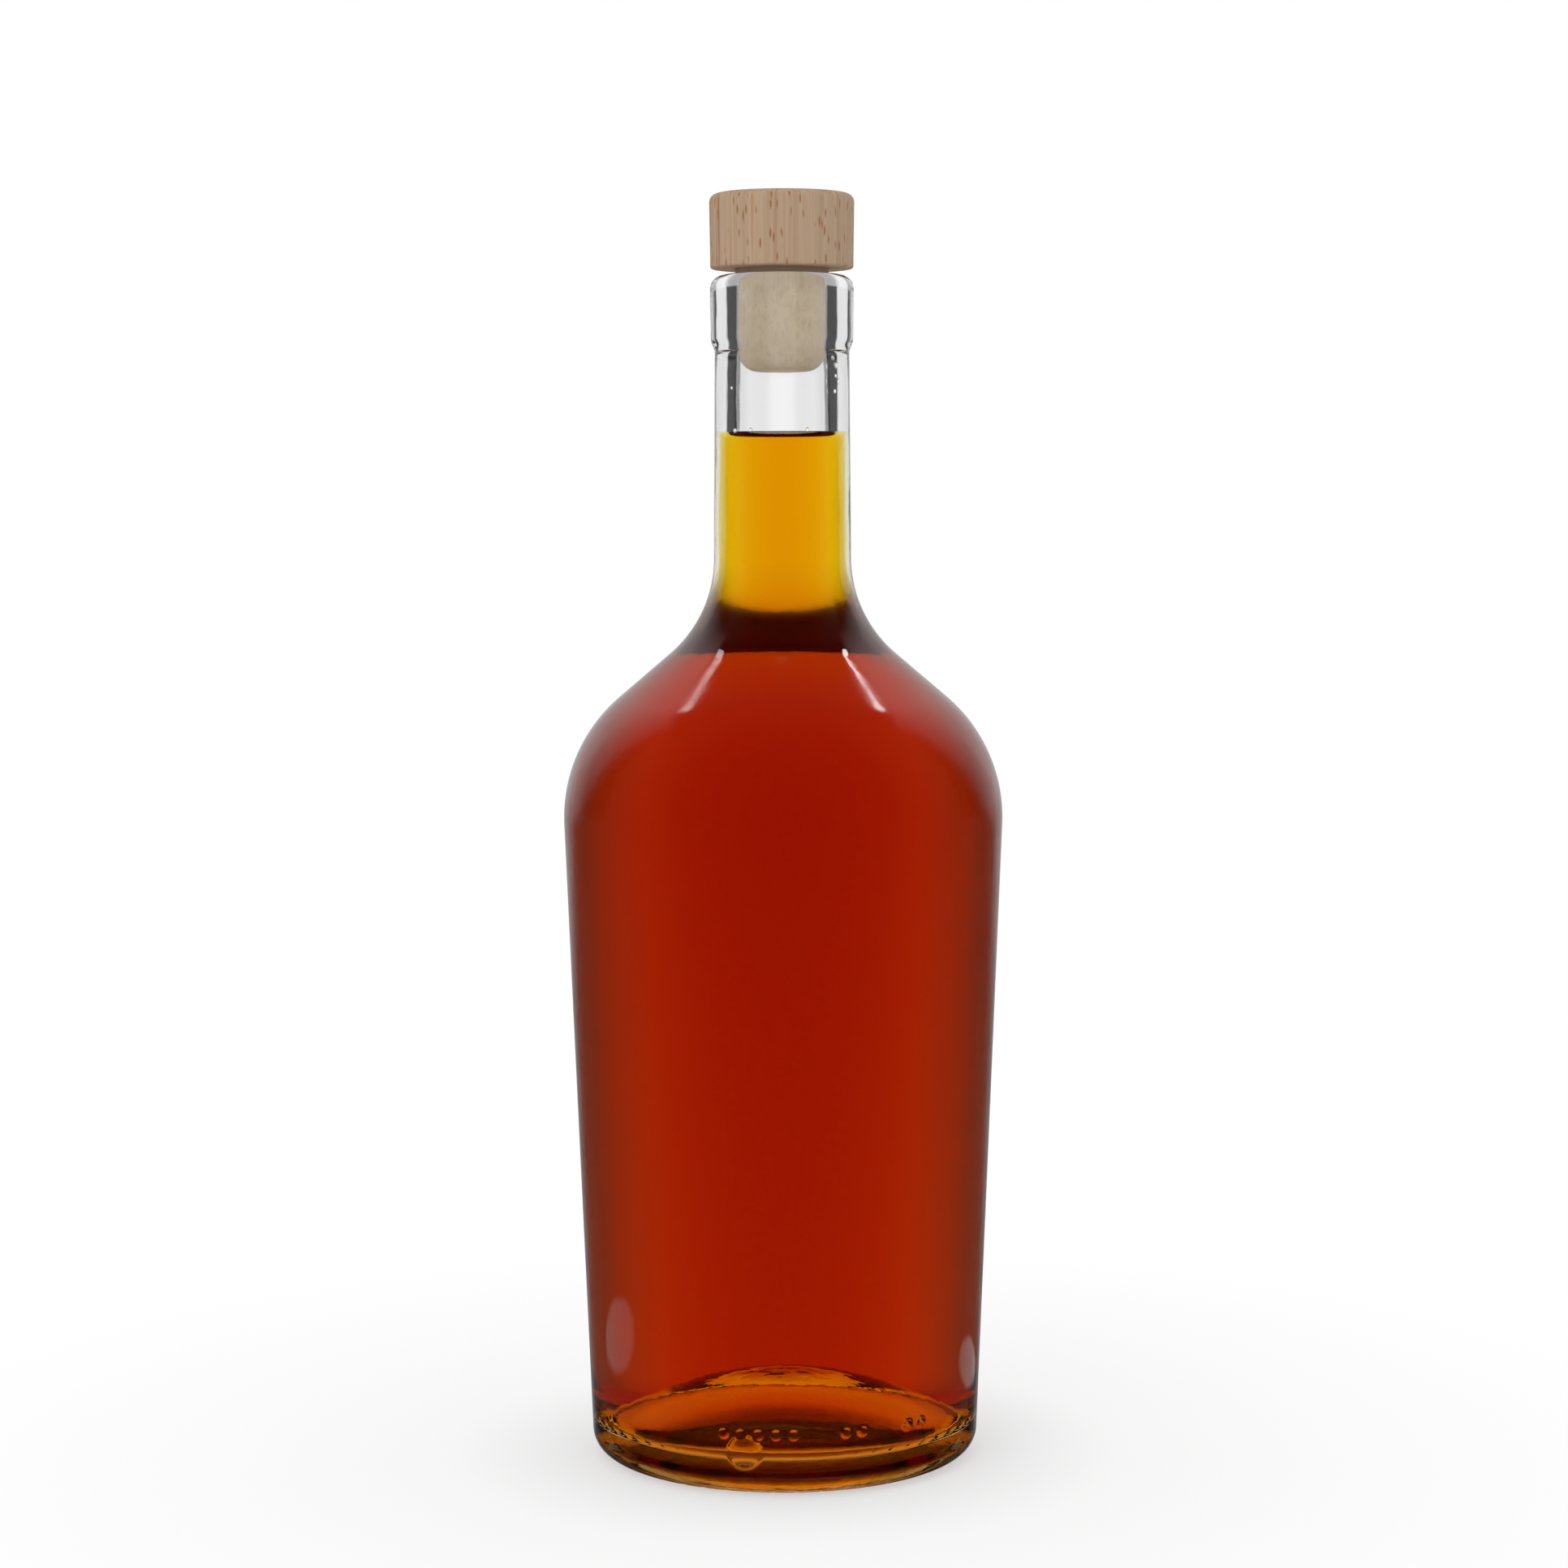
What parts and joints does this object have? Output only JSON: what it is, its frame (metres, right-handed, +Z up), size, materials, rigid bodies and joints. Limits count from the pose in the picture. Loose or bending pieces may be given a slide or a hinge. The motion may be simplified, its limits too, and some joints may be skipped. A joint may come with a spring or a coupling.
{
  "type": "stoppered spirit bottle",
  "caption": "Round clear glass bottle with a tapering body, sloped shoulder and long neck, filled with amber spirit and closed by a push-in stopper with a turned wooden head.",
  "frame": {"origin": "centre of the ring that the bottle stands on, on its axis", "axes": "+Z up along the bottle's axis, towards the mouth; -Y is the front, where the small marks on the heel are"},
  "size_m": [0.0902, 0.0902, 0.259],
  "materials": {
    "flint_glass": "gloss",
    "amber_liquid": "gloss",
    "beech": "satin",
    "synthetic_cork": "matte"
  },
  "bodies": {
    "bottle": {"bottle": "flint_glass", "liquid": "amber_liquid"},
    "stopper": {"stopper_head": "beech", "stopper_plug": "synthetic_cork"}
  },
  "joints": [
    {"name": "stopper_pull", "type": "slide", "parent": "bottle", "child": "stopper", "axis": [0, 0, 1], "range_m": [0, 0.045]}
  ]
}
